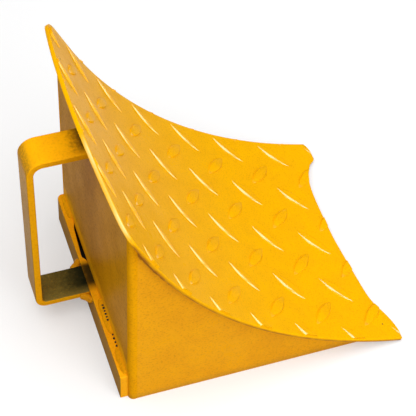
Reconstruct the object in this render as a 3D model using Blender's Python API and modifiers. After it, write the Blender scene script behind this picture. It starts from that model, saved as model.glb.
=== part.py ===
"""Welded steel wheel chock with a curved tread plate, a ground bar and a strap handle.

Metres, +Z up. +X points from the handle to the toe, and the wheel rolls up against the +X face.
The origin lies on the ground under the middle of the chock's length.
"""

import math

import bmesh
import bpy

# Tread plate: an arc about the wheel's axis with a straight end on top
PLATE_WIDTH = 0.200
PLATE_THICKNESS = 0.003
FACE_RADIUS = 0.306
TOE_SLOPE = math.radians(15.5)
TOE_LIFT = 0.00145
TOP_SLOPE = math.radians(64.2)
TOP_OVERHANG = 0.0053
TOP_CROWN = 0.019
TOP_CORNER_RADIUS = 0.012
TOE_RECESS = 0.017
TOE_RECESS_FLAT = 0.090
TOE_EAR_WIDTH = 0.008

# Raised lozenges on the plate's face, in two crossing lattices measured from the toe and the middle
LOZENGE_LENGTH = 0.032
LOZENGE_WIDTH = 0.0086
LOZENGE_HEIGHT = 0.0015
LOZENGE_CREST_WIDTH = 0.0040
LOZENGE_ROOT = 0.0008
LOZENGE_EDGE_MARGIN = 0.002
ROW_PITCH = 0.0435
COLUMN_PITCH = 0.0462
FIRST_ROW = 0.0376
FIRST_COLUMN = -0.0069

# Body under the plate
BASE_LENGTH = 0.205
SIDE_OVERHANG = 0.009
PANEL_THICKNESS = 0.004
RIB_THICKNESS = 0.004
RIB_GROUND_CLEARANCE = 0.003
NOSE_HEIGHT = 0.003

# Flat bar on edge along the foot of the rear panel
BAR_END_SETBACK = 0.0035
BAR_HEIGHT = 0.025
BAR_THICKNESS = 0.0055

# U-bent strap handle
HANDLE_REACH = 0.0458
HANDLE_WIDTH = 0.025
HANDLE_THICKNESS = 0.005
HANDLE_OFFSET_Y = 0.004
HANDLE_DROP = 0.0101
HANDLE_UPPER_BEND = 0.007
HANDLE_LOWER_BEND = 0.003

# Weld beads
BEAD_RADIUS = 0.002
STITCH_LENGTH = 0.040
STITCH_COUNT = 3
STITCH_END_MARGIN = 0.025
BAR_END_STITCH = 0.024
BAR_STITCH_GAP = 0.012
SEAM_END_MARGIN = 0.008

# Fits
WELD_GAP = 0.0003

# Mesh fineness
PLATE_STEPS_LONG = 40
PLATE_STEPS_WIDE = 24
ARC_STEPS = 28
LOZENGE_SIDES = 12
BEND_STEPS = 8
CORNER_STEPS = 4
BEAD_STEP_LENGTH = 0.008

# Places that follow from the sizes above
UNDER_RADIUS = FACE_RADIUS + PLATE_THICKNESS
REAR_X = (HANDLE_REACH - BASE_LENGTH) / 2
TOE_X = REAR_X + BASE_LENGTH
ARC_X = TOE_X + UNDER_RADIUS * math.sin(TOE_SLOPE)
ARC_Z = UNDER_RADIUS * math.cos(TOE_SLOPE) + TOE_LIFT
ARC_LENGTH = FACE_RADIUS * (TOP_SLOPE - TOE_SLOPE)
STRAIGHT_START_X = ARC_X - UNDER_RADIUS * math.sin(TOP_SLOPE)
STRAIGHT_END = (STRAIGHT_START_X - REAR_X + TOP_OVERHANG) / math.cos(TOP_SLOPE)
BODY_WIDTH = PLATE_WIDTH - 2 * SIDE_OVERHANG
BAR_LENGTH = BODY_WIDTH - 2 * BAR_END_SETBACK
PANEL_INNER_Y = BODY_WIDTH / 2 - PANEL_THICKNESS
BAR_FRONT_X = REAR_X - WELD_GAP
BAR_REAR_X = BAR_FRONT_X - BAR_THICKNESS

YELLOW = (0.82, 0.42, 0.012, 1.0)
DULL_YELLOW = (0.62, 0.31, 0.012, 1.0)
PAINT_ROUGHNESS = 0.35


def clear_scene():
    for item in list(bpy.data.objects):
        bpy.data.objects.remove(item, do_unlink=True)


def make_material(name, color):
    material = bpy.data.materials.new(name)
    material.use_nodes = True
    shader = material.node_tree.nodes["Principled BSDF"]
    shader.inputs["Base Color"].default_value = color
    shader.inputs["Roughness"].default_value = PAINT_ROUGHNESS
    shader.inputs["Metallic"].default_value = 0.0
    return material


def add_object(name, data, color=YELLOW):
    item = bpy.data.objects.new(name, data)
    data.materials.append(make_material(name + "_paint", color))
    CHOCK.objects.link(item)
    return item


def face_point(along, deeper=0.0):
    """Point (x, z) of the plate's face, or of a surface deeper below it, measured along from the toe."""
    angle = TOE_SLOPE + min(along, ARC_LENGTH) / FACE_RADIUS
    straight = max(along - ARC_LENGTH, 0.0)
    radius = FACE_RADIUS + deeper
    x = ARC_X - radius * math.sin(angle) - straight * math.cos(angle)
    z = ARC_Z - radius * math.cos(angle) + straight * math.sin(angle)
    return x, z


def underside_z(x, deeper=0.0):
    """Height of the plate's underside above the ground, or of a surface deeper below it."""
    radius = UNDER_RADIUS + deeper
    tangent_x = ARC_X - radius * math.sin(TOP_SLOPE)
    if x >= tangent_x:
        return ARC_Z - math.sqrt(radius ** 2 - (ARC_X - x) ** 2)
    tangent_z = ARC_Z - radius * math.cos(TOP_SLOPE)
    return tangent_z + (tangent_x - x) * math.tan(TOP_SLOPE)


def underside_x(z, deeper=0.0):
    """Place along the arc where the plate's underside has the height z."""
    radius = UNDER_RADIUS + deeper
    return ARC_X - math.sqrt(radius ** 2 - (ARC_Z - z) ** 2)


def flat_outline(name, points, thickness, y):
    """Plate of a given thickness, upright in the XZ plane, from its outline."""
    curve = bpy.data.curves.new(name, "CURVE")
    curve.dimensions = "2D"
    curve.fill_mode = "BOTH"
    curve.extrude = thickness / 2
    spline = curve.splines.new("POLY")
    spline.points.add(len(points) - 1)
    for point, (x, z) in zip(spline.points, points):
        point.co = (x, z, 0.0, 1.0)
    spline.use_cyclic_u = True
    item = add_object(name, curve)
    item.rotation_euler = (math.pi / 2, 0.0, 0.0)
    item.location = (0.0, y, 0.0)


def bead(name, run, color=YELLOW):
    """Round weld bead through the points of its run."""
    curve = bpy.data.curves.new(name, "CURVE")
    curve.dimensions = "3D"
    curve.bevel_depth = BEAD_RADIUS
    curve.bevel_resolution = 1
    curve.use_fill_caps = True
    spline = curve.splines.new("POLY")
    spline.points.add(len(run) - 1)
    for point, place in zip(spline.points, run):
        point.co = (*place, 1.0)
    add_object(name, curve, color)


def straight_run(start, end):
    length = math.dist(start, end)
    steps = max(2, round(length / BEAD_STEP_LENGTH))
    return [tuple(a + (b - a) * i / steps for a, b in zip(start, end)) for i in range(steps + 1)]


def box_mesh(name, low, high):
    mesh = bpy.data.meshes.new(name)
    form = bmesh.new()
    bmesh.ops.create_cube(form, size=1.0)
    for vert in form.verts:
        vert.co = [low[i] if vert.co[i] < 0 else high[i] for i in range(3)]
    return mesh, form


def finish_mesh(mesh, form):
    bmesh.ops.recalc_face_normals(form, faces=form.faces)
    form.to_mesh(mesh)
    form.free()


def top_edge(y):
    """How far the plate reaches above the toe corners, along the plate, at the place y."""
    half = PLATE_WIDTH / 2
    into_corner = max(abs(y) - (half - TOP_CORNER_RADIUS), 0.0)
    corner = TOP_CORNER_RADIUS - math.sqrt(max(TOP_CORNER_RADIUS ** 2 - into_corner ** 2, 0.0))
    return ARC_LENGTH + STRAIGHT_END + TOP_CROWN * (1 - (y / half) ** 2) - corner


def toe_edge(y):
    """How far the toe edge is drawn back between the ears at its corners."""
    start = TOE_RECESS_FLAT / 2
    end = PLATE_WIDTH / 2 - TOE_EAR_WIDTH
    share = min(max((abs(y) - start) / (end - start), 0.0), 1.0)
    return TOE_RECESS * (1 + math.cos(math.pi * share)) / 2


def lozenge_point(center, lean, length, width):
    """Place (along, y) on the plate of a point given along and across a lozenge that leans 45 degrees."""
    turn = math.cos(math.pi / 4)
    return center[0] + turn * (length - lean * width), center[1] + turn * (lean * length + width)


def lozenge_fits(center, lean):
    half_length = LOZENGE_LENGTH / 2 + LOZENGE_EDGE_MARGIN
    half_width = LOZENGE_WIDTH / 2 + LOZENGE_EDGE_MARGIN
    for length, width in ((half_length, 0.0), (-half_length, 0.0), (0.0, half_width), (0.0, -half_width)):
        along, y = lozenge_point(center, lean, length, width)
        if abs(y) > PLATE_WIDTH / 2 or not toe_edge(y) < along < top_edge(y):
            return False
    return True


def add_lozenge(form, center, lean):
    """Lens-shaped lozenge with a flat crest, rooted in the plate's face."""
    crest = LOZENGE_CREST_WIDTH / LOZENGE_WIDTH
    made = bmesh.ops.create_cone(
        form, cap_ends=True, segments=LOZENGE_SIDES, radius1=1.0, radius2=crest, depth=1.0)
    for vert in made["verts"]:
        on_crest = vert.co.z > 0.0
        ring = crest if on_crest else 1.0
        length = vert.co.x * LOZENGE_LENGTH / 2
        width = vert.co.y * abs(vert.co.y) / ring * LOZENGE_WIDTH / 2
        along, y = lozenge_point(center, lean, length, width)
        x, z = face_point(along, -LOZENGE_HEIGHT if on_crest else LOZENGE_ROOT)
        vert.co = (x, y, z)


def build_lozenges():
    """All lozenges that lie whole on the plate, as one guide that the plate is joined with."""
    mesh = bpy.data.meshes.new("tread_lozenges")
    form = bmesh.new()
    rows = math.ceil(top_edge(0.0) / ROW_PITCH)
    columns = math.ceil(PLATE_WIDTH / COLUMN_PITCH)
    for row in range(-1, rows + 1):
        for column in range(-columns, columns + 1):
            for lean, shift in ((1, 0.0), (-1, 0.5)):
                along = FIRST_ROW + (row + shift) * ROW_PITCH
                y = FIRST_COLUMN + (column + shift) * COLUMN_PITCH
                if lozenge_fits((along, y), lean):
                    add_lozenge(form, (along, y), lean)
    finish_mesh(mesh, form)
    guide = bpy.data.objects.new("tread_lozenges", mesh)
    guide.hide_render = True
    guide.display_type = "WIRE"
    GUIDES.objects.link(guide)
    return guide


def build_tread_plate():
    mesh = bpy.data.meshes.new("tread_plate")
    form = bmesh.new()
    bmesh.ops.create_grid(form, x_segments=PLATE_STEPS_LONG, y_segments=PLATE_STEPS_WIDE, size=1.0)
    for vert in form.verts:
        share = (vert.co.x + 1) / 2
        y = PLATE_WIDTH / 2 * math.sin(vert.co.y * math.pi / 2)
        along = toe_edge(y) + share * (top_edge(y) - toe_edge(y))
        x, z = face_point(along)
        vert.co = (x, y, z)
    form.to_mesh(mesh)
    form.free()
    plate = add_object("tread_plate", mesh)
    shell = plate.modifiers.new("Thickness", "SOLIDIFY")
    shell.thickness = PLATE_THICKNESS
    shell.use_even_offset = True
    shell.offset = 1.0
    relief = plate.modifiers.new("Lozenges", "BOOLEAN")
    relief.operation = "UNION"
    relief.solver = "EXACT"
    relief.object = build_lozenges()


def cheek_outline(rear_x, floor_z):
    """Outline of an upright plate that fills the space between the ground and the tread plate."""
    nose_x = underside_x(floor_z + NOSE_HEIGHT, WELD_GAP)
    bend_x = max(STRAIGHT_START_X, rear_x)
    points = [(rear_x, floor_z), (nose_x, floor_z)]
    for step in range(ARC_STEPS + 1):
        x = nose_x + (bend_x - nose_x) * step / ARC_STEPS
        points.append((x, underside_z(x, WELD_GAP)))
    if rear_x < bend_x:
        points.append((rear_x, underside_z(rear_x, WELD_GAP)))
    return points


def build_side_panels():
    outline = cheek_outline(REAR_X + PANEL_THICKNESS + WELD_GAP, 0.0)
    middle = BODY_WIDTH / 2 - PANEL_THICKNESS / 2
    flat_outline("side_panel_left", outline, PANEL_THICKNESS, middle)
    flat_outline("side_panel_right", outline, PANEL_THICKNESS, -middle)


def slope_top(form):
    """Trim the top of an upright piece that stands on the ground to the slope of the plate above it."""
    for vert in form.verts:
        if vert.co.z > 0.0:
            vert.co.z = underside_z(vert.co.x, WELD_GAP)


def build_rear_panel():
    half = PANEL_INNER_Y - WELD_GAP
    front_x = REAR_X + PANEL_THICKNESS
    top = underside_z(REAR_X)
    mesh, form = box_mesh("rear_panel", (REAR_X, -half, 0.0), (front_x, half, top))
    slope_top(form)
    finish_mesh(mesh, form)
    add_object("rear_panel", mesh, DULL_YELLOW)


def build_corner_weld(name, side):
    inner = PANEL_INNER_Y
    outer = BODY_WIDTH / 2
    low = (REAR_X, min(side * inner, side * outer), 0.0)
    high = (REAR_X + PANEL_THICKNESS, max(side * inner, side * outer), underside_z(REAR_X))
    mesh, form = box_mesh(name, low, high)
    rim = []
    for edge in form.edges:
        on_rear = all(abs(vert.co.x - REAR_X) < WELD_GAP for vert in edge.verts)
        on_side = all(abs(vert.co.y - side * outer) < WELD_GAP for vert in edge.verts)
        if on_rear and on_side:
            rim.append(edge)
    radius = PANEL_THICKNESS - WELD_GAP
    bmesh.ops.bevel(form, geom=rim, offset=radius, segments=CORNER_STEPS, profile=0.5, affect="EDGES")
    slope_top(form)
    finish_mesh(mesh, form)
    add_object(name, mesh)


def build_rib():
    rear_x = REAR_X + PANEL_THICKNESS + WELD_GAP
    flat_outline("center_rib", cheek_outline(rear_x, RIB_GROUND_CLEARANCE), RIB_THICKNESS, 0.0)


def build_ground_bar():
    half = BAR_LENGTH / 2
    mesh, form = box_mesh("ground_bar", (BAR_REAR_X, -half, 0.0), (BAR_FRONT_X, half, BAR_HEIGHT))
    finish_mesh(mesh, form)
    add_object("ground_bar", mesh, DULL_YELLOW)


def quarter_turn(center, radius, start):
    """Points of a quarter circle in the XZ plane, turning from the start angle."""
    points = []
    for step in range(BEND_STEPS + 1):
        angle = start + math.pi / 2 * step / BEND_STEPS
        points.append((center[0] + radius * math.cos(angle), center[1] + radius * math.sin(angle)))
    return points


def handle_top_z():
    return underside_z(REAR_X) - HANDLE_DROP


def build_handle():
    top = handle_top_z()
    grip_x = REAR_X - HANDLE_REACH
    upper_outer = HANDLE_UPPER_BEND + HANDLE_THICKNESS
    lower_outer = HANDLE_LOWER_BEND + HANDLE_THICKNESS
    upper_center = (grip_x + upper_outer, top - upper_outer)
    lower_bottom = BAR_HEIGHT - HANDLE_THICKNESS
    lower_center = (grip_x + lower_outer, lower_bottom + lower_outer)
    panel_x = REAR_X - WELD_GAP
    bar_x = BAR_REAR_X - WELD_GAP
    outline = [(panel_x, top)]
    outline += quarter_turn(upper_center, upper_outer, math.pi / 2)
    outline += quarter_turn(lower_center, lower_outer, math.pi)
    outline += [(bar_x, lower_bottom), (bar_x, BAR_HEIGHT)]
    outline += quarter_turn(lower_center, HANDLE_LOWER_BEND, math.pi)[::-1]
    outline += quarter_turn(upper_center, HANDLE_UPPER_BEND, math.pi / 2)[::-1]
    outline.append((panel_x, top - HANDLE_THICKNESS))
    flat_outline("handle", outline, HANDLE_WIDTH, HANDLE_OFFSET_Y)


def plate_stitches(name, y):
    """Stitch welds along the underside of the tread plate at the place y."""
    deeper = PLATE_THICKNESS + WELD_GAP + BEAD_RADIUS
    rear_angle = math.asin((ARC_X - REAR_X - PANEL_THICKNESS) / (FACE_RADIUS + deeper))
    room = min(FACE_RADIUS * (rear_angle - TOE_SLOPE), ARC_LENGTH)
    first = STITCH_END_MARGIN + TOE_RECESS
    pitch = (room - STITCH_END_MARGIN - first - STITCH_LENGTH) / (STITCH_COUNT - 1)
    steps = round(STITCH_LENGTH / BEAD_STEP_LENGTH)
    for stitch in range(STITCH_COUNT):
        run = []
        for step in range(steps + 1):
            x, z = face_point(first + stitch * pitch + STITCH_LENGTH * step / steps, deeper)
            run.append((x, y, z))
        bead(f"{name}_{stitch + 1}", run)


def build_inner_welds():
    away = WELD_GAP + BEAD_RADIUS
    cheek_y = PANEL_INNER_Y - away
    rib_y = RIB_THICKNESS / 2 + away
    rear_x = REAR_X + PANEL_THICKNESS + away
    for name, side in (("left", 1), ("right", -1)):
        plate_stitches("tread_weld_" + name, side * cheek_y)
        plate_stitches("rib_tread_weld_" + name, side * rib_y)
        low = (rear_x, side * rib_y, RIB_GROUND_CLEARANCE + STITCH_END_MARGIN)
        high = (rear_x, side * rib_y, handle_top_z() - STITCH_END_MARGIN)
        bead("rib_rear_weld_" + name, straight_run(low, high))


def build_rear_seam_welds():
    away = WELD_GAP + BEAD_RADIUS
    x = REAR_X - away
    z = underside_z(x) - away / math.cos(TOP_SLOPE)
    outer = PANEL_INNER_Y - SEAM_END_MARGIN
    handle_half = HANDLE_WIDTH / 2 + SEAM_END_MARGIN
    for name, side in (("left", 1), ("right", -1)):
        start = (x, side * outer, z)
        end = (x, HANDLE_OFFSET_Y + side * handle_half, z)
        bead("rear_seam_weld_" + name, straight_run(start, end), DULL_YELLOW)


def build_bar_welds():
    away = WELD_GAP + BEAD_RADIUS
    x = REAR_X - away
    z = BAR_HEIGHT + away
    end = BAR_LENGTH / 2 - BEAD_RADIUS
    near_handle = HANDLE_OFFSET_Y - HANDLE_WIDTH / 2 - SEAM_END_MARGIN
    right_stop = BAR_END_STITCH - end
    spans = {
        "left": (end - BAR_END_STITCH, end),
        "middle": (right_stop + BAR_STITCH_GAP, near_handle),
        "right": (-end, right_stop),
    }
    for name, (start, stop) in spans.items():
        bead("bar_weld_" + name, straight_run((x, start, z), (x, stop, z)), DULL_YELLOW)


def build_handle_welds():
    away = WELD_GAP + BEAD_RADIUS
    half = HANDLE_WIDTH / 2 - BEAD_RADIUS
    panel_x = REAR_X - away
    top = handle_top_z() + away
    bottom = handle_top_z() - HANDLE_THICKNESS - away
    for name, z in (("top", top), ("bottom", bottom)):
        start = (panel_x, HANDLE_OFFSET_Y - half, z)
        end = (panel_x, HANDLE_OFFSET_Y + half, z)
        bead("handle_upper_weld_" + name, straight_run(start, end))
    bar_x = BAR_REAR_X - away
    for name, side in (("left", 1), ("right", -1)):
        y = HANDLE_OFFSET_Y + side * (HANDLE_WIDTH / 2 + away)
        low = (bar_x, y, BAR_HEIGHT - HANDLE_THICKNESS)
        high = (bar_x, y, BAR_HEIGHT)
        bead("handle_lower_weld_" + name, straight_run(low, high))


clear_scene()
CHOCK = bpy.data.collections.new("wheel_chock")
bpy.context.scene.collection.children.link(CHOCK)
GUIDES = bpy.data.collections.new("guides")
bpy.context.scene.collection.children.link(GUIDES)
build_tread_plate()
build_side_panels()
build_rear_panel()
build_corner_weld("corner_weld_left", 1)
build_corner_weld("corner_weld_right", -1)
build_rib()
build_ground_bar()
build_handle()
build_inner_welds()
build_rear_seam_welds()
build_bar_welds()
build_handle_welds()
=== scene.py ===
"""Looks of the welded wheel chock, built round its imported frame.

Metres, +Z up, in the frame of the solids: +X points from the handle to the toe, and the ground is z = 0.
"""

import math

import bmesh
import bpy
from mathutils import Matrix, Vector


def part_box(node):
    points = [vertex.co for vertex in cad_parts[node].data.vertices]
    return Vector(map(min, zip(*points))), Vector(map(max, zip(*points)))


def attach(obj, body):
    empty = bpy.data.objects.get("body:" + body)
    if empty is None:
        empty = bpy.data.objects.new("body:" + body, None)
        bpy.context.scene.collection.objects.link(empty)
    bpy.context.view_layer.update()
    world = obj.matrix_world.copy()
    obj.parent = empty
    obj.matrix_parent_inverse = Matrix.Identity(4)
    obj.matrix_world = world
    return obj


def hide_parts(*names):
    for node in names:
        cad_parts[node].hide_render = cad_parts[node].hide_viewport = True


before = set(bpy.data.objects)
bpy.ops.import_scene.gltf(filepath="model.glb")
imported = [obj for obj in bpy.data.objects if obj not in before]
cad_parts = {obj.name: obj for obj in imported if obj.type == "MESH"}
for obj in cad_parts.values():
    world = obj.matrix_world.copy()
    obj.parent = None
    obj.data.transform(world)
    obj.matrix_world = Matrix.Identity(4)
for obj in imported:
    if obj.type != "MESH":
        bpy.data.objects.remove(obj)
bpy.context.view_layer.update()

# Tread plate, as in the solids: an arc about the wheel's axis with a straight end on top
FACE_RADIUS = 0.306
PLATE_THICKNESS = 0.003
TOE_SLOPE = math.radians(15.5)
TOE_LIFT = 0.00145
TOP_SLOPE = math.radians(64.2)
TOP_OVERHANG = 0.0053
TOP_CROWN = 0.019
TOP_CORNER_RADIUS = 0.012
PLATE_EDGE_ROUNDING = 0.0007

# Toe edge from the far ear, with its cut corner and notch, to the near ear: places (y, how far drawn back)
TOE_OUTLINE = (
    (0.1000, 0.0032), (0.0970, 0.0013), (0.0930, 0.0003), (0.0870, 0.0000), (0.0825, 0.0002),
    (0.0805, 0.0024), (0.0780, 0.0052), (0.0715, 0.0090), (0.0640, 0.0125), (0.0520, 0.0155),
    (0.0350, 0.0168), (0.0000, 0.0170), (-0.0200, 0.0156), (-0.0420, 0.0136), (-0.0590, 0.0116),
    (-0.0680, 0.0088), (-0.0760, 0.0047), (-0.0860, 0.0010), (-0.0930, 0.0000), (-0.1000, 0.0000),
)

# Raised lozenges of the tread, measured along the plate from the toe and across it
LOZENGE_LENGTH = 0.0320
LOZENGE_WIDTH = 0.0086
LOZENGE_HEIGHT = 0.0016
LOZENGE_SINK = 0.0004
LOZENGE_CREST = 0.64
LOZENGE_END_FULLNESS = 0.95
LOZENGE_STEPS = 25
LOZENGE_MERGE = 0.00002
LOZENGE_EDGE_MARGIN = 0.992
ROW_PITCH = 0.0435
COLUMN_PITCH = 0.0462
FIRST_ROW = -0.0059
FIRST_COLUMN = -0.0993
LOZENGE_ROWS = 8
LOZENGE_COLUMNS = 5

# Polish on one flank or one tip of a lozenge: shares of its half width and half length, and lowest heights
FLANK_POLISH = (-0.50, -0.66)
FLANK_POLISH_ENDS = (0.86, 0.98)
TIP_POLISH = (0.72, 0.86)
TIP_POLISH_STRENGTH = 0.7
POLISH_START = (0.00001, 0.0001)

# Painted highlight on the plate's upper rim and painted shade on its side edges: heights from its face, and
# distances along it and from its sides
RIM_HIGHLIGHT_TOP = (-0.0006, -0.0001)
RIM_HIGHLIGHT_FOOT = (-0.0027, -0.0020)
RIM_HIGHLIGHT_RISE = 0.012
RIM_HIGHLIGHT_END_Y = -0.022
RIM_HIGHLIGHT_FADE = 0.018
RIM_HIGHLIGHT_CORNER = (0.0005, 0.0060)
EDGE_SHADE_DEPTH = (-0.0019, -0.0009)
EDGE_SHADE_REACH = (0.0012, 0.0004)

# Small laps and rounded edges of the painted steel
FUSE = 0.0002
SHEET_EDGE_ROUNDING = 0.0007
STRAP_EDGE_ROUNDING = 0.0009
BAR_EDGE_ROUNDING = 0.0010
SHARP_ANGLE = math.radians(40.0)
LOZENGE_SHARP_ANGLE = math.radians(36.0)

# Share of even spacing in mesh steps that lie closer near their ends
EVEN_SHARE = 0.35

# Handle, as in the solids
STRAP_THICKNESS = 0.005
HANDLE_UPPER_BEND = 0.007
HANDLE_LOWER_BEND = 0.003

# Weld beads
BEAD_SIZE = 0.0034
BEAD_RIPPLE_PITCH = 0.0021
BEAD_RIPPLE_DEPTH = 0.00028
BEAD_STEP = 0.0005
BEAD_UNEVENNESS = 0.16
BEAD_FULLNESS = 0.92
BEAD_END_FULLNESS = 0.18
BEAD_DRIFT = 90.0
CRESCENT_BOW = 0.35
LAP_SHARPNESS = 0.6
STITCH_DROP = 0.0016
STITCH_STEPS = 12
REAR_SEAM_BEAD_SIZE = 0.0024
BAR_BEAD_SINK = 0.0014
BAR_BEADS = (("left", 0.0042, 0.3), ("middle", 0.0044, 0.1), ("right", 0.0044, 0.3))
UPPER_HANDLE_BEAD_SIZE = 0.0026
LOWER_HANDLE_BEAD_SIZE = 0.0028
LOWER_HANDLE_FLARE = 0.0075
LOWER_HANDLE_BOW = (0.4, 0.35)
CORNER_BEAD_LAP = 0.0030
CORNER_BEAD_PROUD = 0.0002
CORNER_BEAD_DEPTH = 0.0018

# Pinholes in the seam of the ground bar: name, start y, end y, out, up, spacing and size
PINHOLE_ROWS = (
    ("seam_pinholes_close", -0.0249, -0.0384, 0.0008, 0.0025, 0.0027, 0.00075),
    ("seam_pinholes_sparse", -0.0503, -0.0604, 0.0005, 0.0002, 0.0033, 0.00072),
)
PINHOLE_SPREAD = (0.6, 1.3)

# Open slit between the ground bar and the rear panel, and the bar's rounded far end
SLIT_NEAR_Y = 0.020
SLIT_FAR_Y = 0.057
SLIT_WIDTH = 0.0034
SLIT_END_TAPER = 0.004
SLIT_TIP = 0.35
BAR_FAR_CORNER = 0.0045

# Camera, set at the photograph's viewing angle
CAMERA_AIM = (0.0165, 0.0280, 0.0431)
CAMERA_DISTANCE = 1.15
CAMERA_AZIMUTH = math.radians(-20.80)
CAMERA_ELEVATION = math.radians(50.06)
CAMERA_ROLL = math.radians(3.31)
CAMERA_LENS = 133.06
SENSOR_WIDTH = 36.0

# Studio light and floor
LIGHT_AIM = (0.0, 0.0, 0.08)
CEILING_LIGHT = (0.30, 0.30, 0.30, 1.0)
WALL_LIGHT = (0.12, 0.12, 0.12, 1.0)
FLOOR_BOUNCE = (0.45, 0.45, 0.45, 1.0)
FLOOR_GLOW = (0.34, 0.34, 0.34, 1.0)
FLOOR_PALE = (0.60, 0.60, 0.60, 1.0)
FLOOR_PALER = (0.62, 0.62, 0.62, 1.0)
NO_GLOW = (0.0, 0.0, 0.0, 1.0)
FLOOR_REACH = 3.0
LIGHT_DISTANCE = 1.6

# Paint, rust, soiling, and painted light and shade
YELLOW = (0.9, 0.4, 0.01, 1.0)
THIN_YELLOW = (0.8, 0.3, 0.01, 1.0)
GRAIN_SHADE = (0.62, 0.52, 0.40, 1.0)
RUST_SPECK = (0.16, 0.07, 0.02, 1.0)
# Brown that is painted shade on the tread plate's side edge faces
EDGE_SHADE = (0.40, 0.13, 0.008, 1.0)
# Pale paint that is a painted highlight on the tread plate's upper near rim
PAINTED_RIM_HIGHLIGHT = (0.91, 0.71, 0.31, 1.0)
# Near-black is painted shade inside the pinholes, brown is their rust
PINHOLE_DARK = (0.004, 0.003, 0.002, 1.0)
PINHOLE_BROWN = (0.03, 0.012, 0.004, 1.0)
GROUND_DIRT = (0.20, 0.11, 0.035)
# Brown and green-grey painted shade for the bar and the handle
BROWN_SHADE = (0.14, 0.08, 0.02)
GREEN_GREY_SHADE = (0.085, 0.115, 0.040)
POLISH_ROUGHNESS = 0.18
POLISH_IOR = 2.1
PAINT_RELIEF = 0.0003
# Painted shade by the handle's ends: its fades across the handle and its share on the upper leg
CORNER_SHADE_NEAR_FADE = (-0.002, 0.009)
CORNER_SHADE_FAR_FADE = (-0.002, 0.005)
UPPER_LEG_SHADE = 0.42
# Depth of the painted shade behind the ground bar
GAP_SHADE_DEPTH = (-0.0020, -0.0002)
GRAIN_IN_GLOSS = 0.35
GRAIN_IN_RELIEF = 0.3
SPECK_LEAST = 0.4
RUST_DULLING = 0.4
GRIME_AND_SHADE_DULLING = 0.35

# Soft edges of the marks in the paint, painted light and shade among them
PATCH_EDGE = (0.36, 0.70)
GRAIN_EDGE = (0.45, 0.75)
GLOSS_EDGE = (0.3, 0.7)
SPECK_EDGE = (0.7, 1.1)
GRIME_AND_SHADE_EDGE = (0.2, 1.0)
FACING_EDGE = (0.5, 0.8)
REARWARD_EDGE = (-0.8, -0.5)
OVERHANG_SHADOW_EDGE = (0.8, 1.0)
CORNER_SHADE_EDGE = (0.1, 1.0)
CORNER_SHADE_FACING_EDGE = (0.2, 0.6)
REFLECTION_BAND_EDGE = (0.45, 1.0)

# Sides of the chock seen from behind the handle, +Y and -Y
SIDES = (("left", 1), ("right", -1))

# Places read from the frame
rear_low, rear_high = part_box("rear_panel")
plate_low, plate_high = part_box("tread_plate")
cheek_low, cheek_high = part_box("side_panel_left")
bar_low, bar_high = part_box("ground_bar")
handle_low, handle_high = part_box("handle")
rib_low, rib_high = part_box("center_rib")

REAR_X = rear_low.x
PANEL_THICKNESS = rear_high.x - rear_low.x
HALF_PLATE = (plate_high.y - plate_low.y) / 2
BODY_HALF = cheek_high.y
PANEL_INNER_Y = cheek_low.y
UNDER_RADIUS = FACE_RADIUS + PLATE_THICKNESS
TOE_X = plate_high.x - PLATE_THICKNESS * math.sin(TOE_SLOPE)
ARC_X = TOE_X + UNDER_RADIUS * math.sin(TOE_SLOPE)
ARC_Z = UNDER_RADIUS * math.cos(TOE_SLOPE) + TOE_LIFT
ARC_LENGTH = FACE_RADIUS * (TOP_SLOPE - TOE_SLOPE)
STRAIGHT_START_X = ARC_X - UNDER_RADIUS * math.sin(TOP_SLOPE)
STRAIGHT_END = (STRAIGHT_START_X - REAR_X + TOP_OVERHANG) / math.cos(TOP_SLOPE)


class NodeNet:
    """Lays nodes in one tree and joins them, so that a tree reads like a sum.

    A node that is fed to a socket gives its first output.
    """

    def __init__(self, tree):
        self.tree = tree

    def feed(self, socket, value):
        if isinstance(value, bpy.types.Node):
            value = value.outputs[0]
        if isinstance(value, bpy.types.NodeSocket):
            self.tree.links.new(value, socket)
        else:
            socket.default_value = value

    def add(self, kind, inputs=None, **settings):
        node = self.tree.nodes.new(kind)
        for name, value in settings.items():
            setattr(node, name, value)
        for name, value in (inputs or {}).items():
            self.feed(node.inputs[name], value)
        return node

    def math(self, operation, *values):
        node = self.add("ShaderNodeMath", operation=operation)
        for socket, value in zip(node.inputs, values):
            self.feed(socket, value)
        return node

    def times(self, first, *others):
        for other in others:
            first = self.math("MULTIPLY", first, other)
        return first

    def plus(self, first, second):
        return self.math("ADD", first, second)

    def minus(self, first, second):
        return self.math("SUBTRACT", first, second)

    def over(self, first, second):
        return self.math("DIVIDE", first, second)

    def weigh(self, share, first, second):
        """Sum of two values, of which the second has the given share."""
        return self.math("MULTIPLY_ADD", second, share, self.times(first, 1 - share))

    def parts(self, vector):
        """X, Y and Z of a vector."""
        return self.add("ShaderNodeSeparateXYZ", {0: vector}).outputs

    def vector(self, x=0.0, y=0.0, z=0.0):
        return self.add("ShaderNodeCombineXYZ", {"X": x, "Y": y, "Z": z})

    def position(self):
        return self.parts(self.add("GeometryNodeInputPosition"))

    def surface_point(self):
        return self.add("ShaderNodeTexCoord").outputs["Object"]

    def surface_place(self):
        return self.parts(self.surface_point())

    def facing(self):
        return self.parts(self.add("ShaderNodeNewGeometry").outputs["Normal"])

    def noise(self, scale, detail, roughness=0.5):
        return self.add("ShaderNodeTexNoise", {
            "Vector": self.surface_point(), "Scale": scale, "Detail": detail, "Roughness": roughness})

    def ramp(self, value, low, high, to_low=0.0, to_high=1.0):
        """Smooth step of a value from one range to another."""
        inputs = {"Value": value, "From Min": low, "From Max": high, "To Min": to_low, "To Max": to_high}
        node = self.add("ShaderNodeMapRange", inputs, interpolation_type="SMOOTHSTEP")
        return node.outputs["Result"]

    def fade(self, value, low, high):
        return self.ramp(value, low, high, 1.0, 0.0)

    def mix(self, share, first, second, blend="MIX"):
        node = self.add("ShaderNodeMix", data_type="RGBA", blend_type=blend)
        self.feed(node.inputs[0], share)
        self.feed(node.inputs[6], first)
        self.feed(node.inputs[7], second)
        return node.outputs[2]


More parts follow.
